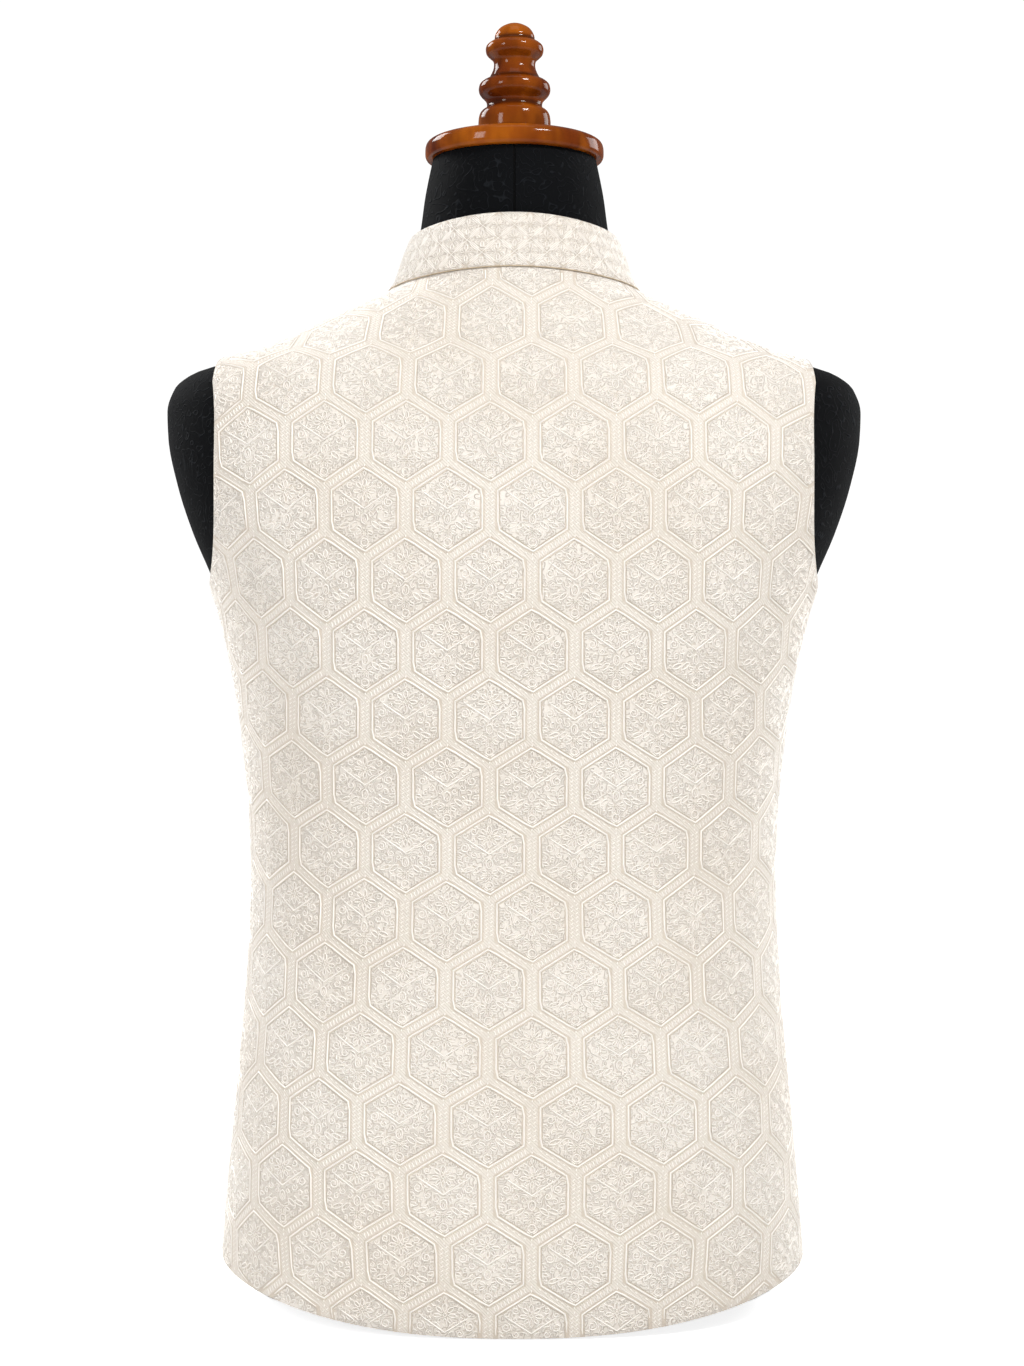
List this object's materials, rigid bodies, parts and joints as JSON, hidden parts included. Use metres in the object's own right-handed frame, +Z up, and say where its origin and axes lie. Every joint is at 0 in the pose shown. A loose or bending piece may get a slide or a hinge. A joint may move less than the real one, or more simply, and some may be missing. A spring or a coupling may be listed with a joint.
{
  "type": "waistcoat on a dress form",
  "caption": "Sleeveless stand-collar waistcoat of cream brocade, buttoned down the front, on a black limbless dress form with a turned wood neck cap and finial.",
  "frame": {"origin": "centre of the form's flat base, on the surface that it stands on", "axes": "+Z up along the neck, +Y towards the back of the waistcoat, +X towards the wearer's left"},
  "size_m": [0.4492, 0.2537, 0.8288],
  "materials": {
    "brocade": "cream self-coloured brocade, soft sheen",
    "jersey": "matt black knit cover",
    "wood": "gloss lacquer over red-brown hardwood",
    "button": "polished ivory resin"
  },
  "bodies": {
    "root": {"form": "jersey", "neck_cap": "wood", "finial": "wood", "back": "brocade", "front_left": "brocade", "front_right": "brocade", "collar": "brocade", "button_1": "button", "button_2": "button", "button_3": "button", "button_4": "button", "button_5": "button"}
  },
  "joints": []
}
